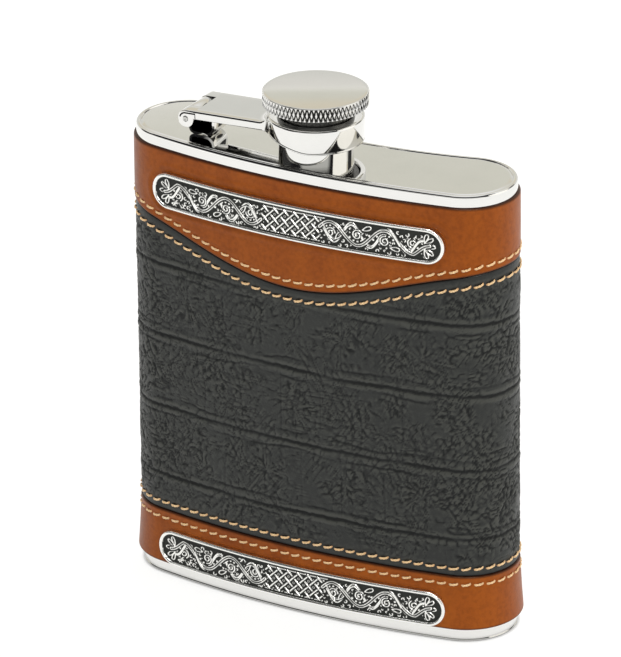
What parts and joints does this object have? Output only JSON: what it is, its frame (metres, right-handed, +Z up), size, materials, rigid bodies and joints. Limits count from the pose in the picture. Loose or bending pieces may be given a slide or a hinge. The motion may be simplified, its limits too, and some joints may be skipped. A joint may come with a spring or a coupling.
{
  "type": "hip flask",
  "caption": "Leather-wrapped steel hip flask with a curved body, stitched two-tone cover, pewter plates and a knurled screw cap held by a hinged arm.",
  "frame": {"origin": "on the flat base, straight below the axis of the neck", "axes": "+Z up; -Y is the convex front with the badges; +Y is the hollowed back; the arm's hinge is towards -X"},
  "size_m": [0.095, 0.0292, 0.122],
  "materials": {
    "shell_steel": "satin",
    "polished_steel": "mirror polished",
    "washer_plastic": "matt",
    "seal_rubber": "matt",
    "brown_leather": "smooth, waxed",
    "black_leather": "embossed grain, satin",
    "waxed_thread": "waxed thread",
    "pewter": "cast relief, blackened in the hollows"
  },
  "bodies": {
    "flask": {"body_tube": "shell_steel", "top_plate": "polished_steel", "bottom_plate": "polished_steel", "neck": "polished_steel", "hinge_bracket": "polished_steel", "leather_top_band": "brown_leather", "leather_mid_panel": "black_leather", "leather_bottom_band": "brown_leather", "thread_top_brown": "waxed_thread", "thread_top_black": "waxed_thread", "thread_bottom_black": "waxed_thread", "thread_bottom_brown": "waxed_thread", "thread_back_seam": "waxed_thread", "upper_badge": "pewter", "lower_badge": "pewter"},
    "arm": {"lid_arm": "polished_steel", "hinge_pin": "shell_steel"},
    "cap_carrier": {"cap_washer": "washer_plastic"},
    "cap": {"cap_knob": "polished_steel", "cap_stem": "shell_steel", "cap_seal": "seal_rubber"}
  },
  "joints": [
    {"name": "arm_hinge", "type": "hinge", "parent": "flask", "child": "arm", "pos_m": [-0.0294, 0, 0.11165], "axis": [0, -1, 0], "range_deg": [0, 170]},
    {"name": "cap_lift", "type": "slide", "parent": "arm", "child": "cap_carrier", "axis": [0, 0, 1], "range_m": [0, 0.0015]},
    {"name": "cap_spin", "type": "hinge", "parent": "cap_carrier", "child": "cap", "pos_m": [0, 0, 0.1186], "axis": [0, 0, 1], "range_deg": [0, 450]}
  ],
  "couplings": [
    {"joint": "cap_lift", "follows": "cap_spin", "m_per_rad": 0.00019098}
  ]
}
